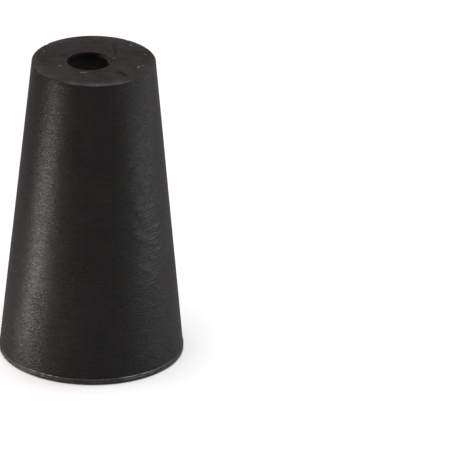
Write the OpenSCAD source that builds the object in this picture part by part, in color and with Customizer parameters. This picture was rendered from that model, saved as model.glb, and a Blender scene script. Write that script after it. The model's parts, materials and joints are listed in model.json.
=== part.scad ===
// One-hole laboratory stopper: a solid rubber cone, cut square at both ends and pierced by one bore.
// It stands on its wide end. The origin is the middle of that end's face and +Z runs up the cone.

/* [Body] */
// Diameter over the wide end
wide_d = 15; // [12:0.1:24]
// Diameter of the narrow end, where the cone meets its face
narrow_d = 10; // [8:0.1:12]
// Length from face to face
length = 25.4; // [15:0.1:40]
// Radius that softens the rim of the narrow end
rim_r = 0.12; // [0.05:0.01:0.4]

/* [Moulded band round the wide end] */
// Height of the straight band that the taper grinding leaves untouched
band_h = 0.5; // [0.4:0.05:2]
// How far the band stands out from the foot of the ground taper
band_step = 0.05; // [0.02:0.01:0.15]
// Radius that softens the edge the stopper stands on
foot_r = 0.15; // [0.05:0.01:0.2]

/* [Bore] */
// Diameter of the hole through the stopper
bore_d = 3; // [1:0.1:4]
// Distance from the stopper's axis to the bore's axis
bore_offset = 0.4; // [0:0.05:0.8]
// Direction of that offset, seen from above, anticlockwise from +X
bore_angle = 204; // [0:1:359]
// Radius of the rounded mouth at the narrow end
mouth_r = 0.3; // [0.1:0.05:0.5]
// Radius that softens the bore's edge at the wide end
bore_foot_r = 0.1; // [0.05:0.01:0.3]

/* [Plain marks sunk into the wide end] */
// Number of bars
mark_count = 4; // [1:1:6]
// Length of one bar, along the radius
mark_length = 2.2; // [1:0.1:2.6]
// Width of one bar
mark_width = 0.4; // [0.2:0.05:0.8]
// Depth of one bar
mark_depth = 0.2; // [0.1:0.05:0.5]
// Distance from the outer end of a bar to the edge of the wide end
mark_inset = 1.1; // [0.8:0.1:1.5]
// Angle from one bar to the next
mark_step = 24; // [14:1:40]

/* [Hidden] */

rubber_colour = [0.2, 0.19, 0.185];
round_steps = 8;    // straight pieces in each quarter-round edge
side_steps = 180;   // facets round the cone in a preview
bore_steps = 96;    // facets round the bore in a preview
beyond = 1;         // how far a cutter passes the face it leaves by
lap = 0.001;        // how far the rounded mouth reaches past the face, so that no sliver is left there

wide_r = wide_d / 2;
narrow_r = narrow_d / 2;
bore_r = bore_d / 2;
taper_foot_r = wide_r - band_step;
// Angle between the ground side and the stopper's axis
taper_angle = atan((taper_foot_r - narrow_r) / (length - band_h));
// Radius at which the narrow rim's rounding is centred, so that it meets the ground side smoothly
rim_centre_r = narrow_r - rim_r * (1 - sin(taper_angle)) / cos(taper_angle);
mark_outer_r = wide_r - mark_inset;

// Points along an arc of radius r about [x, y], from angle a to angle b
function arc(x, y, r, a, b) = [
    for (i = [0:round_steps])
        let (t = a + (b - a) * i / round_steps)
            [x + r * cos(t), y + r * sin(t)]
];

// Half section of the body: the foot edge, the band, the taper and the narrow rim
function body_section() = concat(
    [[0, 0]],
    arc(wide_r - foot_r, foot_r, foot_r, -90, 0),
    arc(taper_foot_r, band_h - band_step, band_step, 0, 90),
    arc(rim_centre_r, length - rim_r, rim_r, taper_angle, 90),
    [[0, length]]
);

// Half section of the bore: straight through, with a soft edge below and a rounded mouth above
function bore_section() = concat(
    [[0, -beyond], [bore_r + bore_foot_r, -beyond]],
    arc(bore_r + bore_foot_r, bore_foot_r, bore_foot_r, 270, 180),
    arc(bore_r + mouth_r, length - mouth_r + lap, mouth_r, 180, 90),
    [[bore_r + mouth_r, length + beyond], [0, length + beyond]]
);

// The bore lies parallel to the stopper's axis, a little to one side of it
module bore_cut() {
    rotate([0, 0, bore_angle])
        translate([bore_offset, 0, 0])
            rotate_extrude($fn = bore_steps)
                polygon(bore_section());
}

// Short radial bars in an arc on the bore's side of the wide end
module mark_cuts() {
    for (i = [0:mark_count - 1])
        rotate([0, 0, bore_angle + (i - (mark_count - 1) / 2) * mark_step])
            translate([mark_outer_r - mark_length, -mark_width / 2, -beyond])
                cube([mark_length, mark_width, beyond + mark_depth]);
}

module stopper() {
    color(rubber_colour)
        difference() {
            rotate_extrude($fn = side_steps)
                polygon(body_section());
            bore_cut();
            mark_cuts();
        }
}

stopper();
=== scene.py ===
"""One-hole rubber stopper, standing on its wide end on a pale floor under soft studio light.

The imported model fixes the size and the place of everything. Here its one node gets a finer mesh, with the
small relief of ground and moulded rubber, and its procedural finishes. Lengths are millimetres until they
reach Blender, which works in metres.
"""

import json
import math

import bmesh
import bpy
import numpy as np
from mathutils import Matrix, Vector, noise


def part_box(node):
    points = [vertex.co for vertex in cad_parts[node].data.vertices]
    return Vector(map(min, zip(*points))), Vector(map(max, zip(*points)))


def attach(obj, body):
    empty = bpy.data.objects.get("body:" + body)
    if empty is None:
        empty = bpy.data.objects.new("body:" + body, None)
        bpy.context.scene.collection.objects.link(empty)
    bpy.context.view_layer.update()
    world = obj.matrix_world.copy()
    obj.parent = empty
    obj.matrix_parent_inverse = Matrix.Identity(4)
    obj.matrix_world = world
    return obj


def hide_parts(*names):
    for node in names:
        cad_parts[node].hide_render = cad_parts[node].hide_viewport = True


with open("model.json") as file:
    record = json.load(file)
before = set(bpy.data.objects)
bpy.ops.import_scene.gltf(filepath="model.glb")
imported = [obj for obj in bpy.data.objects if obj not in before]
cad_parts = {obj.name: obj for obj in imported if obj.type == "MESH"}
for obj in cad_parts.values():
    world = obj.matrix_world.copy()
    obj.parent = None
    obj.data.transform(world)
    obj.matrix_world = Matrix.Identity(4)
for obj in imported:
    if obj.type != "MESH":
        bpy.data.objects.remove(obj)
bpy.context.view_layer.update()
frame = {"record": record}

MM = 0.001      # metres in a millimetre

# ---------------------------------------------------------------------------
# The stopper's own sizes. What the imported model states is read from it, and the rest repeats part.scad.
# ---------------------------------------------------------------------------
box_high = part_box("stopper")[1]
mounts = {mount["name"]: mount for mount in frame["record"]["mounts"]}
WIDE_R = box_high.x / MM
LENGTH = box_high.z / MM
BORE_X, BORE_Y = (value / MM for value in mounts["bore"]["pos_m"][:2])
BORE_R = mounts["bore"]["dims"]["r_mm"]

NARROW_R = 5.0      # where the ground cone meets the narrow end's face
RIM_R = 0.12        # rounding of the narrow rim
BAND_H = 0.5        # moulded band round the wide end
BAND_STEP = 0.05    # how far the band stands out from the ground cone
FOOT_R = 0.15       # rounding of the edge it stands on
MOUTH_R = 0.3       # rounded mouth of the bore at the narrow end
BORE_FOOT_R = 0.1   # rounding of the bore's edge at the wide end

MARK_COUNT = 4      # plain sunk bars on the wide end
MARK_LENGTH = 2.2
MARK_WIDTH = 0.4
MARK_DEPTH = 0.2
MARK_INSET = 1.1
MARK_STEP = 24.0    # degrees from one bar to the next
MARK_ROUND = 0.06   # rounding of a bar's edges

SEGMENTS = 300      # points in each ring of the mesh
SHARP_ANGLE = 50    # degrees: an edge that turns more than this is shaded sharp
SEED_SPREAD = 17.3  # how far apart, in cells, two seeds read the same noise
ZONES = ("ground", "rim", "end", "bore", "band")
FINISH_OF = {"ground": 0, "rim": 1, "end": 1, "bore": 2, "band": 3}     # each zone's material slot


def arc(x, z, r, start, end, steps):
    """Points on an arc of radius r about (x, z), without the first one."""
    angles = np.radians(np.linspace(start, end, steps + 1)[1:])
    return [(x + r * math.cos(a), z + r * math.sin(a)) for a in angles]


def line(a, b, steps):
    """Points along the straight line from a to b, without the first one."""
    return [tuple(np.array(a) + (np.array(b) - np.array(a)) * k / steps) for k in range(1, steps + 1)]


def outline():
    """The section once round, as (radius, height, share of the bore's offset, zone), from the bore's foot."""
    taper_foot = WIDE_R - BAND_STEP
    slope = math.atan((taper_foot - NARROW_R) / (LENGTH - BAND_H))
    rim_x = NARROW_R - RIM_R * (1 - math.sin(slope)) / math.cos(slope)
    rim_start = (rim_x + RIM_R * math.cos(slope), LENGTH - RIM_R + RIM_R * math.sin(slope))
    mouth = BORE_R + MOUTH_R
    foot = BORE_R + BORE_FOOT_R
    stretches = [
        ("end", 0, line((foot, 0), (WIDE_R - FOOT_R, 0), 28)),
        ("band", 0, arc(WIDE_R - FOOT_R, FOOT_R, FOOT_R, -90, 0, 6)),
        ("band", 0, line((WIDE_R, FOOT_R), (WIDE_R, BAND_H - BAND_STEP), 8)),
        ("band", 0, arc(taper_foot, BAND_H - BAND_STEP, BAND_STEP, 0, 90, 4)),
        ("ground", 0, line((taper_foot, BAND_H), rim_start, 176)),
        ("rim", 0, arc(rim_x, LENGTH - RIM_R, RIM_R, math.degrees(slope), 90, 6)),
        ("end", 0, line((rim_x, LENGTH), (mouth, LENGTH), 36)),
        ("bore", 1, arc(mouth, LENGTH - MOUTH_R, MOUTH_R, 90, 180, 14)),
        ("bore", 1, line((BORE_R, LENGTH - MOUTH_R), (BORE_R, BORE_FOOT_R), 22)),
        ("bore", 1, arc(foot, BORE_FOOT_R, BORE_FOOT_R, 180, 270, 4)),
    ]
    rings = []
    for zone, offset, points in stretches:
        for radius, height in points:
            share = offset
            if zone == "end" and height == 0:
                share = 1 - (radius - foot) / (WIDE_R - FOOT_R - foot)
            elif zone == "end":
                share = 1 - (radius - mouth) / (rim_x - mouth)
            rings.append((radius, height, share, zone))
    return rings


def ring_points(rings):
    """The rings' points as an array [ring, segment, xyz]."""
    turn = np.linspace(0, 2 * math.pi, SEGMENTS, endpoint=False)
    points = np.empty((len(rings), SEGMENTS, 3))
    for k, (radius, height, share, _) in enumerate(rings):
        points[k, :, 0] = BORE_X * share + radius * np.cos(turn)
        points[k, :, 1] = BORE_Y * share + radius * np.sin(turn)
        points[k, :, 2] = height
    return points


def outward(points):
    """Unit normals of the closed lattice of rings."""
    along = np.roll(points, -1, 0) - np.roll(points, 1, 0)
    around = np.roll(points, -1, 1) - np.roll(points, 1, 1)
    normals = np.cross(around, along)
    return normals / np.linalg.norm(normals, axis=2, keepdims=True)


# ---------------------------------------------------------------------------
# Relief: how far the real surface lies off the ideal one, in millimetres
# ---------------------------------------------------------------------------
def noise_field(points, cell, seed):
    """Smooth noise from -1 to 1 at each point; cell is the size of its bumps along x, y and z."""
    flat = points.reshape(-1, 3) / np.array(cell) + seed * SEED_SPREAD
    values = [noise.noise(Vector(p)) for p in flat]
    return np.array(values).reshape(points.shape[:-1])


def smooth(edge0, edge1, value):
    """0 below edge0, 1 above edge1, and a smooth step between."""
    t = np.clip((value - edge0) / (edge1 - edge0), 0, 1)
    return t * t * (3 - 2 * t)


def direction_of(points):
    """Direction of each point from the origin, seen from above, in degrees anticlockwise from +X."""
    return np.degrees(np.arctan2(points[..., 1], points[..., 0]))


def turned_from(direction, turn):
    """How far turn lies past direction, both in degrees, the short way round."""
    return (turn - direction + 180) % 360 - 180


def from_segment(points, a, b):
    """Distance in plan from each point to the straight line from a to b."""
    a, b = np.array(a, float), np.array(b, float)
    p = points[..., :2] - a
    t = np.clip((p @ (b - a)) / max((b - a) @ (b - a), 1e-9), 0, 1)
    return np.linalg.norm(p - t[..., None] * (b - a), axis=-1)


FACE_SUNK = 0.05    # the narrow face's ground level, below the highest crumb on it
# Small cuts in the narrow face: two ends, half width and depth
CUTS = [
    ((2.05, -2.1), (2.6, -2.75), 0.20, 0.11),
    ((1.75, 1.25), (1.55, 3.1), 0.16, 0.05),
    ((-3.7, 1.2), (-3.3, 1.45), 0.08, 0.04),
    ((0.9, -3.5), (1.5, -3.75), 0.07, 0.03),
    ((1.85, -2.35), (2.35, -2.3), 0.12, 0.06),
]
# Crumbs and burrs that stand on the narrow face: two ends, half width and height
CRUMBS = [
    ((-1.05, -2.4), (-0.55, -2.36), 0.08, 0.05),
    ((3.55, -1.02), (3.72, -1.1), 0.07, 0.05),
    ((3.55, -1.3), (3.70, -1.22), 0.07, 0.05),
    ((3.88, -0.85), (4.0, -0.95), 0.07, 0.05),
    ((4.05, 1.4), (4.15, 1.45), 0.06, 0.045),
    ((2.8, 3.2), (3.05, 3.1), 0.08, 0.05),
    ((-2.72, -1.1), (-2.64, -1.08), 0.10, 0.045),
    ((1.6, 0.6), (1.68, 0.55), 0.06, 0.04),
    ((-4.1, 1.75), (-4.0, 1.8), 0.07, 0.04),
]
# Dark smears on the narrow face: two ends and half width
SMEARS = [
    ((1.6, -1.75), (2.6, -2.75), 0.35),
    ((1.75, 1.0), (1.6, 3.3), 0.35),
    ((-3.2, 1.3), (-2.2, 0.9), 0.3),
    ((3.0, 2.0), (3.9, 1.6), 0.25),
]
# Nicks in the narrow rim: direction in degrees, half width and depth
RIM_NICKS = [
    (-101, 0.12, 0.07), (-62, 0.25, 0.04), (-20, 0.10, 0.06),
    (58, 0.12, 0.03), (141, 0.15, 0.06), (214, 0.12, 0.05),
]


def narrow_face_relief(points):
    """Grain, cuts and crumbs of the narrow face, its crumbs' dust and painted glint, painted shade in its
    cuts and grime in its smears.
    """
    grain = 0.008 * noise_field(points, (0.22, 0.22, 1), 1) + 0.010 * noise_field(points, (1.4, 1.4, 1), 2)
    relief = grain - FACE_SUNK
    ragged = 0.08 * noise_field(points, (0.25, 0.25, 1), 15)
    dust = np.zeros(relief.shape)
    grime = np.zeros(relief.shape)
    for a, b, half, depth in CUTS:
        reach = from_segment(points, a, b) + ragged
        relief -= depth * (1 - smooth(0, half, reach))
        burr = smooth(half * 0.8, half * 1.1, reach) * (1 - smooth(half * 1.1, half * 1.8, reach))
        relief += 0.3 * depth * burr
        # Painted shade: each cut is coloured darker along its middle.
        grime = np.maximum(grime, (1 - smooth(half * 0.3, half * 1.2, reach)) * min(1, depth / 0.08))
    for a, b, half, height in CRUMBS:
        bump = 1 - smooth(half * 0.2, half, from_segment(points, a, b))
        relief += height * bump
        # Each crumb is painted pale: dust, with a painted glint.
        dust = np.maximum(dust, bump)
    blotches = smooth(-0.25, 0.45, noise_field(points, (0.5, 0.5, 1), 12))
    for a, b, half in SMEARS:
        grime = np.maximum(grime, 0.75 * blotches * (1 - smooth(0, half, from_segment(points, a, b))))
    return np.minimum(relief, 0), dust, grime


def rim_relief(points):
    """Nicks in the narrow rim, strongest at the very edge."""
    turn = direction_of(points)
    radius = np.hypot(points[..., 0], points[..., 1])
    edge = 1 - smooth(0, 0.35, np.abs(radius - NARROW_R) + np.abs(points[..., 2] - LENGTH))
    relief = np.zeros(turn.shape)
    for degrees, half, depth in RIM_NICKS:
        away = np.radians(np.abs(turned_from(degrees, turn))) * radius
        relief -= depth * (1 - smooth(0, half, away)) * edge
    return relief


# Pale stretches of the narrow rim, scuffs with a painted highlight: direction and half width in degrees, and
# strength
RIM_SCUFFS_AND_HIGHLIGHT = [(-88, 42, 0.50), (-158, 38, 0.30), (62, 42, 0.34), (128, 30, 0.26), (-10, 22, 0.16)]


def pale_stretches(points, stretches):
    """How pale each point is painted. A stretch is a direction and half width in degrees, and a strength."""
    turn = direction_of(points)
    paleness = np.zeros(turn.shape)
    for degrees, half, strength in stretches:
        away = np.abs(turned_from(degrees, turn))
        paleness = np.maximum(paleness, strength * (1 - smooth(half * 0.5, half, away)))
    return paleness


def rim_scuffs_and_highlight(points):
    """The narrow rim is painted paler in stretches, scuffs with a painted highlight, most of all on the
    camera's side.
    """
    patchy = smooth(-0.5, 0.4, noise_field(points, (0.8, 0.8, 0.8), 11))
    speckled = smooth(-0.5, 0.5, noise_field(points, (0.2, 0.2, 0.2), 16))
    return np.maximum(0.07, pale_stretches(points, RIM_SCUFFS_AND_HIGHLIGHT)) * (0.3 + 0.4 * patchy + 0.3 * speckled)


def rim_fade(points):
    """How much of the rim's pale scuffs and painted highlight reaches inward onto the narrow face."""
    inward = NARROW_R - np.hypot(points[..., 0], points[..., 1])
    return 1 - smooth(0.1, 0.8, inward + 0.3 * noise_field(points, (0.7, 0.7, 1), 17))


# Scores cut in the cone: two ends as (direction in degrees, height), half width and depth
SCORES = [
    ((-123.0, 12.10), (-112.0, 11.35), 0.13, 0.03),
    ((-121.0, 11.55), (-113.0, 11.00), 0.12, 0.02),
    ((-48.0, 21.10), (-40.0, 21.90), 0.12, 0.02),
    ((40.0, 9.0), (52.0, 10.2), 0.12, 0.02),
    ((150.0, 16.0), (161.0, 15.2), 0.12, 0.02),
]
# Stretches that the grinder left rippled: direction and height of the middle, half widths, and strength
RIPPLES = [
    (-46, 11.5, 19, 5.0, 1.4),
    (-46, 18.0, 18, 3.5, 1.0),
    (75, 8.0, 25, 4.0, 1.0),
    (160, 15.0, 22, 5.0, 1.0),
]


def ground_relief(points):
    """The gentle waves that grinding leaves on the cone, its scores with painted shade in them, and where it
    ripples.
    """
    turn = direction_of(points)
    radius = np.hypot(points[..., 0], points[..., 1])
    waves = 0.009 * noise_field(points, (5, 5, 8), 3)
    chatter = 0.003 * noise_field(points, (2.2, 2.2, 0.5), 4)
    relief = waves + chatter
    grime = np.zeros(relief.shape)
    rippled = np.zeros(relief.shape)
    for (turn_a, height_a), (turn_b, height_b), half, depth in SCORES:
        across = np.radians(turned_from(turn_a, turn)) * radius
        flat = np.stack([across, points[..., 2]], -1)
        end_b = (math.radians(turn_b - turn_a) * WIDE_R * 0.85, height_b)
        score = 1 - smooth(0, half, from_segment(flat, (0, height_a), end_b))
        relief -= depth * score
        # Painted shade: each score is coloured darker along its middle.
        grime = np.maximum(grime, 0.6 * score)
    for degrees, height, half_turn, half_height, strength in RIPPLES:
        around, up = turned_from(degrees, turn) / half_turn, (points[..., 2] - height) / half_height
        away = np.hypot(around, up)
        rippled = np.maximum(rippled, strength * (1 - smooth(0.3, 1.2, away)))
    return relief, grime, rippled * smooth(-0.3, 0.3, noise_field(points, (1.0, 1.0, 0.7), 14))


def band_relief(points):
    """The moulded band is a little uneven, with shallow chips."""
    uneven = 0.012 * (noise_field(points, (1.3, 1.3, 0.6), 5) - 1)
    chips = -0.05 * smooth(0.45, 0.7, noise_field(points, (0.5, 0.5, 0.4), 6))
    return uneven + chips


# Stretches of painted highlight on the band's upper edge: direction and half width in degrees, and strength
BAND_HIGHLIGHTS = [(-121, 14, 1.0), (-58, 15, 0.9), (18, 14, 0.6), (96, 24, 0.7), (165, 12, 0.5)]


def band_painted_highlight(points):
    """A painted highlight along the band's upper edge, and a fainter one along a line lower down."""
    height = points[..., 2]
    edge = smooth(BAND_H - BAND_STEP, BAND_H, height)
    lower = 0.35 * (1 - smooth(0, 0.07, np.abs(height - 0.6 * BAND_H)))
    broken = smooth(-0.4, 0.3, noise_field(points, (0.4, 0.4, 0.4), 13))
    return np.maximum(edge, lower) * pale_stretches(points, BAND_HIGHLIGHTS) * broken


def wide_face_relief(points):
    """Moulded grain of the wide face, which never reaches below the floor."""
    grain = 0.007 * noise_field(points, (0.3, 0.3, 1), 7) + 0.012 * noise_field(points, (2.5, 2.5, 1), 8)
    return np.minimum(grain - 0.012, 0)


LIP_FROM, LIP_TO = -30, 70      # degrees: the stretch of the bore's mouth where torn ripples catch the light


def bore_relief(points):
    """Unevenness of the bore's wall, and the mouth: painted shade round it, and along one stretch torn, with
    paler rubber and a painted highlight on the crests.
    """
    offset = points[..., :2] - np.array([BORE_X, BORE_Y])
    turn = direction_of(offset)
    torn = smooth(LIP_FROM, LIP_FROM + 25, turn) * (1 - smooth(LIP_TO - 25, LIP_TO, turn))
    mouth = smooth(LENGTH - MOUTH_R - 0.15, LENGTH - MOUTH_R + 0.05, points[..., 2])
    torn = torn * mouth * (1 - smooth(LENGTH - 0.02, LENGTH, points[..., 2]))
    along = (np.linalg.norm(offset, axis=-1) - points[..., 2]) / 0.2
    waves = 0.5 + 0.5 * np.sin(2 * math.pi * along + 4 * noise_field(points, (0.6, 0.6, 0.6), 10))
    relief = -0.012 * (1 + noise_field(points, (1.0, 1.0, 2.5), 9)) - 0.04 * torn * waves
    broken = smooth(-0.3, 0.3, noise_field(points, (0.35, 0.35, 0.35), 18))
    # The torn stretch's crests are painted pale, torn rubber with a painted highlight; the mouth gets painted
    # shade, half as much where torn.
    return relief, torn * broken * smooth(0.7, 0.95, waves), mouth * (1 - 0.5 * torn)


def relieve(points, rings):
    """The points moved to the real surface, and on each its dust and painted highlight, its grime and painted
    shade, and its ripples.
    """
    normals = outward(points)
    relief, dust, grime, rippled = np.zeros((4, *points.shape[:2]))
    rows = {name: [k for k, ring in enumerate(rings) if ring[3] == name] for name in ZONES}
    upper = [k for k in rows["end"] if rings[k][1] > LENGTH / 2]
    lower = [k for k in rows["end"] if rings[k][1] < LENGTH / 2]
    relief[upper], dust[upper], grime[upper] = narrow_face_relief(points[upper])
    relief[lower] = wide_face_relief(points[lower])
    ground = rows["ground"]
    relief[ground], grime[ground], rippled[ground] = ground_relief(points[ground])
    relief[rows["band"]] = band_relief(points[rows["band"]])
    relief[rows["bore"]], dust[rows["bore"]], grime[rows["bore"]] = bore_relief(points[rows["bore"]])
    near_rim = [k for k, ring in enumerate(rings) if ring[1] > LENGTH - 1 and ring[3] != "bore"]
    relief[near_rim] += rim_relief(points[near_rim])
    dust[rows["rim"]] = rim_scuffs_and_highlight(points[rows["rim"]])
    dust[upper] = np.maximum(dust[upper], 0.5 * rim_scuffs_and_highlight(points[upper]) * rim_fade(points[upper]))
    dust[rows["band"]] = band_painted_highlight(points[rows["band"]])
    first, last = rows["rim"][0], rows["rim"][-1]
    relief[first:last + 1] = np.minimum(relief[first:last + 1], 0)
    return points + normals * relief[..., None], {"dust": dust, "grime": grime, "rippled": rippled}


def lattice_mesh(name, points, rings, layers):
    """A closed mesh from rings that close on themselves both ways."""
    count = len(rings)
    ring, seg = np.meshgrid(np.arange(count), np.arange(SEGMENTS), indexing="ij")
    next_ring, next_seg = (ring + 1) % count, (seg + 1) % SEGMENTS
    quads = np.stack([ring * SEGMENTS + seg, ring * SEGMENTS + next_seg,
                      next_ring * SEGMENTS + next_seg, next_ring * SEGMENTS + seg], -1).reshape(-1, 4)
    mesh = bpy.data.meshes.new(name)
    mesh.from_pydata((points.reshape(-1, 3) * MM).tolist(), [], quads.tolist())
    finish_of_ring = np.array([FINISH_OF[rings[(k + 1) % count][3]] for k in range(count)])
    mesh.polygons.foreach_set("material_index", np.repeat(finish_of_ring, SEGMENTS).astype(np.int32))
    for layer, values in layers.items():
        made = mesh.attributes.new(layer, "FLOAT", "POINT")
        made.data.foreach_set("value", values.ravel().astype(np.float32))
    mesh.update()
    return mesh


def mark_cutter():
    """Bars to sink into the wide end, in an arc on the bore's side."""
    bm = bmesh.new()
    middle = math.atan2(BORE_Y, BORE_X)
    for k in range(MARK_COUNT):
        turn = middle + math.radians((k - (MARK_COUNT - 1) / 2) * MARK_STEP)
        place = (Matrix.Rotation(turn, 4, "Z")
                 @ Matrix.Translation(Vector((WIDE_R - MARK_INSET - MARK_LENGTH / 2, 0, 0)) * MM)
                 @ Matrix.Diagonal(Vector((MARK_LENGTH, MARK_WIDTH, 2 * MARK_DEPTH)) * MM).to_4x4())
        bmesh.ops.create_cube(bm, size=1, matrix=place)
    bmesh.ops.bevel(bm, geom=bm.edges[:], offset=MARK_ROUND * MM, segments=3, profile=0.5, affect="EDGES")
    mesh = bpy.data.meshes.new("mark_cutter")
    bm.to_mesh(mesh)
    bm.free()
    cutter = bpy.data.objects.new("mark_cutter", mesh)
    bpy.context.scene.collection.objects.link(cutter)
    return cutter


def make_stopper(finishes):
    """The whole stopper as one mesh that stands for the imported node."""
    rings = outline()
    points, layers = relieve(ring_points(rings), rings)
    body = bpy.data.objects.new("stopper_body", lattice_mesh("stopper_body", points, rings, layers))
    bpy.context.scene.collection.objects.link(body)
    for finish in finishes:
        body.data.materials.append(finish)
    cutter = mark_cutter()
    cutter.data.materials.append(finishes[FINISH_OF["end"]])
    cut = body.modifiers.new("marks", "BOOLEAN")
    cut.operation, cut.solver, cut.object = "DIFFERENCE", "EXACT", cutter
    cut.material_mode = "TRANSFER"
    bpy.context.view_layer.update()
    finished = bpy.data.meshes.new_from_object(body.evaluated_get(bpy.context.evaluated_depsgraph_get()))
    body.modifiers.clear()
    body.data = finished
    bpy.data.objects.remove(cutter)
    body.data.polygons.foreach_set("use_smooth", [True] * len(body.data.polygons))
    body.data.set_sharp_from_angle(angle=math.radians(SHARP_ANGLE))
    return body


# ---------------------------------------------------------------------------
# Finishes
# ---------------------------------------------------------------------------
class Graph:
    """A short way to write a material's nodes."""

    def __init__(self, name):
        self.material = bpy.data.materials.new(name)
        self.material.use_nodes = True
        self.tree = self.material.node_tree
        self.tree.nodes.clear()
        self.shader = self.node("ShaderNodeBsdfPrincipled")
        output = self.node("ShaderNodeOutputMaterial")
        self.tree.links.new(self.shader.outputs[0], output.inputs[0])
        place = self.node("ShaderNodeTexCoord")
        scaled = self.node("ShaderNodeVectorMath", operation="SCALE")
        self.tree.links.new(place.outputs["Object"], scaled.inputs[0])
        scaled.inputs["Scale"].default_value = 1 / MM
        self.place = scaled.outputs[0]

    def node(self, kind, **settings):
        made = self.tree.nodes.new(kind)
        for key, value in settings.items():
            setattr(made, key, value)
        return made

    def put(self, socket, value):
        """Link a socket, or set a plain value."""
        if isinstance(value, bpy.types.NodeSocket):
            self.tree.links.new(value, socket)
        else:
            socket.default_value = value

    def math(self, operation, a, b):
        made = self.node("ShaderNodeMath", operation=operation)
        self.put(made.inputs[0], a)
        self.put(made.inputs[1], b)
        return made.outputs[0]

    def noise(self, cell, detail=2.0, axis=(0, 0, 1), turn=0.0, shift=(0, 0, 0)):
        """Noise from 0 to 1. Its bumps measure cell (x, y, z) in millimetres, turned degrees about axis."""
        turned = self.node("ShaderNodeVectorRotate", rotation_type="AXIS_ANGLE")
        self.put(turned.inputs["Vector"], self.place)
        turned.inputs["Axis"].default_value = axis
        turned.inputs["Angle"].default_value = math.radians(turn)
        sized = self.node("ShaderNodeVectorMath", operation="MULTIPLY_ADD")
        self.put(sized.inputs[0], turned.outputs[0])
        sized.inputs[1].default_value = [1 / c for c in cell]
        sized.inputs[2].default_value = shift
        made = self.node("ShaderNodeTexNoise")
        self.put(made.inputs["Vector"], sized.outputs[0])
        made.inputs["Scale"].default_value = 1
        made.inputs["Detail"].default_value = detail
        made.inputs["Roughness"].default_value = 0.6
        return made.outputs["Fac"]

    def attribute(self, layer):
        """A value that the mesh carries at each point."""
        return self.node("ShaderNodeAttribute", attribute_name=layer).outputs["Fac"]

    def height(self):
        """Height above the floor, in millimetres."""
        made = self.node("ShaderNodeSeparateXYZ")
        self.put(made.inputs[0], self.place)
        return made.outputs["Z"]

    def range(self, value, low, high, out_low=0.0, out_high=1.0):
        """The value taken smoothly from low..high to out_low..out_high, and held beyond them."""
        made = self.node("ShaderNodeMapRange", interpolation_type="SMOOTHSTEP")
        for socket, number in zip(made.inputs[:5], (value, low, high, out_low, out_high)):
            self.put(socket, number)
        return made.outputs[0]

    def mix(self, share, a, b):
        """Colour a, with that share of colour b."""
        made = self.node("ShaderNodeMix", data_type="RGBA")
        self.put(made.inputs["Factor"], share)
        for socket, colour in ((made.inputs[6], a), (made.inputs[7], b)):
            self.put(socket, colour if isinstance(colour, bpy.types.NodeSocket) else (*colour, 1))
        return made.outputs[2]

    def bump(self, height, distance):
        """Bump whose height of 1 stands for that distance in millimetres."""
        made = self.node("ShaderNodeBump")
        made.inputs["Strength"].default_value = 1
        made.inputs["Distance"].default_value = distance * MM
        self.put(made.inputs["Height"], height)
        return made.outputs[0]

    def finish(self, colour, roughness, normal, specular):
        self.put(self.shader.inputs["Base Color"], colour)
        self.put(self.shader.inputs["Roughness"], roughness)
        self.put(self.shader.inputs["Normal"], normal)
        self.shader.inputs["Specular IOR Level"].default_value = specular
        return self.material


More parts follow.
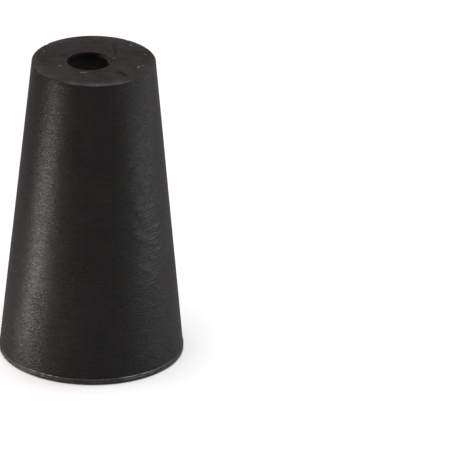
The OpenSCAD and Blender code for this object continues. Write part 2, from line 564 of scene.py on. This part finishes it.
def ground_rubber():
    """Black rubber ground to a taper: lines and ripples round it, under a grain and slanting scratches."""
    g = Graph("ground_rubber")
    patches = g.noise((3.0, 3.0, 4.5), 3, shift=(4, 9, 2))
    fine = g.noise((1.8, 1.8, 0.085), 2)
    ripples = g.noise((0.9, 0.9, 0.15), 1, axis=(1, -1, 0), turn=-3, shift=(7, 3, 1))
    grain = g.noise((0.09, 0.09, 0.065), 1)
    pores = g.noise((0.085, 0.085, 0.06), 1, shift=(2, 6, 3))
    slanted = g.noise((1.6, 1.6, 0.07), 1, axis=(1, -1, 0), turn=-30, shift=(1, 5, 8))
    crossed = g.noise((1.4, 1.4, 0.07), 1, axis=(1, -1, 0), turn=38, shift=(6, 2, 5))
    pits = g.range(g.noise((0.13, 0.13, 0.10), 0, shift=(8, 4, 4)), 0.38, 0.26)
    pits = g.math("MULTIPLY", pits, g.range(g.height(), 3, 14, 0.85, 0.15))
    scratch = g.math("MAXIMUM", g.range(slanted, 0.62, 0.70), g.range(crossed, 0.66, 0.74))
    scratch = g.math("MULTIPLY", scratch, g.range(patches, 0.45, 0.6))
    rippled = g.attribute("rippled")
    ripple_depth = g.math("ADD", g.range(patches, 0.35, 0.65, 0.2, 0.5), g.math("MULTIPLY", rippled, 1.6))
    grain_depth = g.range(patches, 0.35, 0.65, 1.5, 0.6)
    grain_depth = g.math("MULTIPLY", grain_depth, g.range(g.height(), 3, 18, 0.75, 0.4))
    grain_depth = g.math("MULTIPLY", grain_depth, g.range(rippled, 0, 1, 1.0, 0.45))
    height = g.math("ADD", g.math("MULTIPLY", fine, 0.45), g.math("MULTIPLY", grain, grain_depth))
    height = g.math("ADD", height, g.math("MULTIPLY", ripples, ripple_depth))
    height = g.math("SUBTRACT", height, g.math("MULTIPLY", scratch, 0.2))
    height = g.math("SUBTRACT", height, g.math("MULTIPLY", pits, 0.7))
    # Painted highlight: the ripples' crests are coloured paler where the cone is rippled.
    painted_crest_highlight = g.math("MULTIPLY", g.range(ripples, 0.52, 0.64), g.math("MULTIPLY", rippled, 0.28))
    tint = g.mix(g.range(patches, 0.35, 0.7), (0.0095, 0.0086, 0.0080), (0.0130, 0.0121, 0.0113))
    tint = g.mix(g.range(fine, 0.3, 0.7, 0.0, 0.5), tint, (0.0165, 0.0152, 0.0142))
    tint = g.mix(g.math("MULTIPLY", scratch, 0.12), tint, (0.03, 0.029, 0.029))
    tint = g.mix(painted_crest_highlight, tint, (0.06, 0.059, 0.059))
    # Painted shade: pits and scores are coloured darker.
    sunk_shade = g.math("MAXIMUM", pits, g.attribute("grime"))
    colour = g.mix(g.math("MULTIPLY", sunk_shade, 0.8), tint, (0.003, 0.0028, 0.0026))
    worn = g.math("ADD", g.math("MULTIPLY", patches, 0.2), g.math("MULTIPLY", pores, 0.45))
    worn = g.math("ADD", worn, g.math("MULTIPLY", fine, 0.35))
    roughness = g.math("ADD", g.range(worn, 0.36, 0.64, 0.22, 0.46), g.math("MULTIPLY", sunk_shade, 0.4))
    return g.finish(colour, roughness, g.bump(height, 0.045), 0.3)


def end_rubber():
    """Matte end faces: brownish black with a fine grain, specks of dust, paler crumbs with a painted glint, a
    painted highlight near the rim, grime, and painted shade in pits and cuts.
    """
    g = Graph("end_rubber")
    grain = g.noise((0.12, 0.12, 0.12), 3)
    mottle = g.noise((0.9, 0.9, 0.9), 3, shift=(2, 8, 4))
    stains = g.noise((3.0, 3.0, 3.0), 2, shift=(5, 2, 7))
    specks = g.range(g.noise((0.10, 0.10, 0.10), 0, shift=(9, 1, 6)), 0.80, 0.86)
    pits = g.range(g.noise((0.17, 0.17, 0.17), 0, shift=(3, 3, 9)), 0.27, 0.2)
    dust = g.attribute("dust")
    grime = g.attribute("grime")
    tint = g.mix(g.range(mottle, 0.32, 0.68), (0.0080, 0.0062, 0.0058), (0.0200, 0.0162, 0.0150))
    tint = g.mix(g.math("MULTIPLY", g.range(stains, 0.42, 0.6), 0.55), tint, (0.0260, 0.0215, 0.0175))
    tint = g.mix(g.math("MULTIPLY", g.range(grain, 0.35, 0.65), 0.4), tint, (0.027, 0.0235, 0.021))
    # Painted shade: pits are coloured darker.
    tint = g.mix(g.math("MULTIPLY", pits, 0.6), tint, (0.004, 0.0035, 0.003))
    tint = g.mix(g.math("MULTIPLY", specks, 0.5), tint, (0.12, 0.115, 0.105))
    # Painted shade in the cuts, and grime in the smears.
    tint = g.mix(g.math("MULTIPLY", grime, 0.85), tint, (0.003, 0.0025, 0.0025))
    # Pale dust and a painted glint on crumbs, and pale scuffs with a painted highlight near the rim.
    colour = g.mix(g.math("MULTIPLY", dust, 0.8), tint, (0.16, 0.15, 0.13))
    height = g.math("ADD", grain, g.math("MULTIPLY", mottle, 1.2))
    height = g.math("SUBTRACT", height, g.math("MULTIPLY", pits, 0.5))
    roughness = g.range(mottle, 0.3, 0.7, 0.55, 0.75)
    return g.finish(colour, roughness, g.bump(height, 0.035), 0.14)


def bore_rubber():
    """The bore's wall: dull black, painted lighter than the other rubber as painted light in its depth, with
    faint rings from the pin that moulded it.
    """
    g = Graph("bore_rubber")
    rings = g.noise((2.0, 2.0, 0.25), 2)
    grain = g.noise((0.15, 0.15, 0.15), 2)
    dust = g.attribute("dust")
    grime = g.attribute("grime")
    # Painted light: the wall is coloured lighter than the rest of the rubber, for light deep in the bore.
    tint = g.mix(g.range(grain, 0.3, 0.7), (0.030, 0.0288, 0.0270), (0.046, 0.044, 0.041))
    # Painted shade round the bore's mouth.
    tint = g.mix(grime, tint, (0.0035, 0.0032, 0.003))
    # Pale torn rubber with a painted highlight on the torn stretch's crests.
    colour = g.mix(dust, tint, (0.065, 0.063, 0.060))
    height = g.math("ADD", rings, g.math("MULTIPLY", grain, 0.6))
    return g.finish(colour, g.range(rings, 0.3, 0.7, 0.8, 0.95), g.bump(height, 0.012), 0.03)


def band_rubber():
    """The moulded band: painted shade in its hollows, with a polished grain."""
    g = Graph("band_rubber")
    grain = g.noise((0.13, 0.13, 0.10), 3)
    streaks = g.noise((1.5, 1.5, 0.12), 2)
    dust = g.attribute("dust")
    # Painted shade: the streaks' hollows are coloured darker.
    tint = g.mix(g.range(streaks, 0.35, 0.65), (0.012, 0.0112, 0.0100), (0.031, 0.0290, 0.0262))
    tint = g.mix(g.range(grain, 0.52, 0.66, 0.0, 0.6), tint, (0.095, 0.090, 0.080))
    # Painted highlight along the band's upper edge and along a line lower down.
    colour = g.mix(dust, tint, (0.36, 0.35, 0.33))
    height = g.math("ADD", grain, g.math("MULTIPLY", streaks, 0.6))
    return g.finish(colour, g.range(grain, 0.3, 0.7, 0.32, 0.5), g.bump(height, 0.05), 0.5)


# ---------------------------------------------------------------------------
# Stage: floor, light and camera
# ---------------------------------------------------------------------------
FLOOR_HALF = 3.0        # metres from the floor's middle to its edge
STUDIO_TONE = (0.245, 0.238, 0.234, 1)


def make_floor():
    """A plain pale floor, at the height the stopper stands on. It isn't seen in reflections."""
    bm = bmesh.new()
    bmesh.ops.create_grid(bm, x_segments=1, y_segments=1, size=FLOOR_HALF)
    mesh = bpy.data.meshes.new("floor")
    bm.to_mesh(mesh)
    bm.free()
    floor = bpy.data.objects.new("floor", mesh)
    bpy.context.scene.collection.objects.link(floor)
    g = Graph("pale_floor")
    shade = g.noise((40, 40, 40), 2)
    colour = g.mix(g.range(shade, 0.3, 0.7), (0.86, 0.86, 0.86), (0.88, 0.88, 0.88))
    floor.data.materials.append(g.finish(colour, 0.9, g.bump(shade, 0.01), 0.2))
    floor.visible_glossy = False


def softbox(name, turn, away, height, width, tall, watts, colour, aim):
    """A lamp, turn degrees left of the camera's side and that far away from the axis, facing aim."""
    data = bpy.data.lights.new(name, "AREA")
    data.shape = "RECTANGLE"
    data.size, data.size_y = width * MM, tall * MM
    data.energy, data.color = watts, colour
    lamp = bpy.data.objects.new(name, data)
    bpy.context.scene.collection.objects.link(lamp)
    side = math.radians(turn)
    lamp.location = Vector((-math.sin(side) * away, -math.cos(side) * away, height)) * MM
    lamp.rotation_mode = "QUATERNION"
    lamp.rotation_quaternion = (Vector(aim) * MM - lamp.location).to_track_quat("-Z", "Y")
    lamp.visible_camera = False


def make_lights():
    """Narrow lights close in on the left, small and broad ones on the right, one overhead and a dim studio.

    The powers began as a least-squares fit to the photograph's tones, and some were then adjusted.
    """
    middle, foot = (0, 0, LENGTH / 2), (0, 0, LENGTH / 5)
    warm, white = (1.0, 0.93, 0.90), (1.0, 1.0, 1.0)
    softbox("left_strip", 72, 32, 6, 4, 11, 0.0032, warm, foot)
    softbox("left_edge", 80, 32, 6, 4, 11, 0.00078, warm, foot)
    softbox("left_high", 58, 50, 10, 4, 18, 0.00076, warm, middle)
    softbox("left_foot", 72, 16, 2, 3, 4, 0.00040, warm, (0, 0, 1.5))
    softbox("right_back", -112, 160, 50, 50, 80, 0.066, white, middle)
    softbox("right_softbox", -90, 160, 90, 60, 60, 0.050, white, middle)
    softbox("right_low", -75, 30, 7, 12, 12, 0.00084, white, foot)
    softbox("right_edge", -95, 40, 8, 14, 14, 0.00052, white, foot)
    softbox("overhead", 0, 0, 300, 300, 300, 1.03, white, (0, 0, 0))
    world = bpy.data.worlds.new("studio")
    bpy.context.scene.world = world
    world.use_nodes = True
    world.node_tree.nodes["Background"].inputs["Color"].default_value = STUDIO_TONE


# Fitted by least squares to the standing stopper's outline in the photograph, with its proportions held
CAMERA_DOWN = 24.6      # degrees that it looks down by
CAMERA_ROLL = 0.8       # degrees
CAMERA_DISTANCE = 978   # from the plane through the foot of the axis
LENS = 921              # a long lens
SENSOR = 36             # width of the sensor
AIM_RIGHT = 1.558       # the picture's centre lies this many wide radii right of the foot of the axis,
AIM_UP = 1.204          # and this many above it


def make_camera():
    """A camera on the -Y side, rolled a little, that looks down on the stopper."""
    down, roll = math.radians(CAMERA_DOWN), math.radians(CAMERA_ROLL)
    right, up = Vector((1, 0, 0)), Vector((0, math.sin(down), math.cos(down)))
    back = Vector((0, -math.cos(down), math.sin(down)))
    tilted_right = math.cos(roll) * right + math.sin(roll) * up
    tilted_up = math.cos(roll) * up - math.sin(roll) * right
    place = (AIM_RIGHT * WIDE_R * tilted_right + AIM_UP * WIDE_R * tilted_up + CAMERA_DISTANCE * back) * MM
    data = bpy.data.cameras.new("camera")
    data.lens, data.sensor_width = LENS, SENSOR
    camera = bpy.data.objects.new("camera", data)
    bpy.context.scene.collection.objects.link(camera)
    axes = Matrix((tilted_right, tilted_up, back)).transposed().to_4x4()
    camera.matrix_world = Matrix.Translation(place) @ axes
    bpy.context.scene.camera = camera


make_camera()
stopper = make_stopper([ground_rubber(), end_rubber(), bore_rubber(), band_rubber()])
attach(stopper, "root")
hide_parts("stopper")
make_floor()
make_lights()
bpy.context.scene.view_settings.view_transform = "Standard"
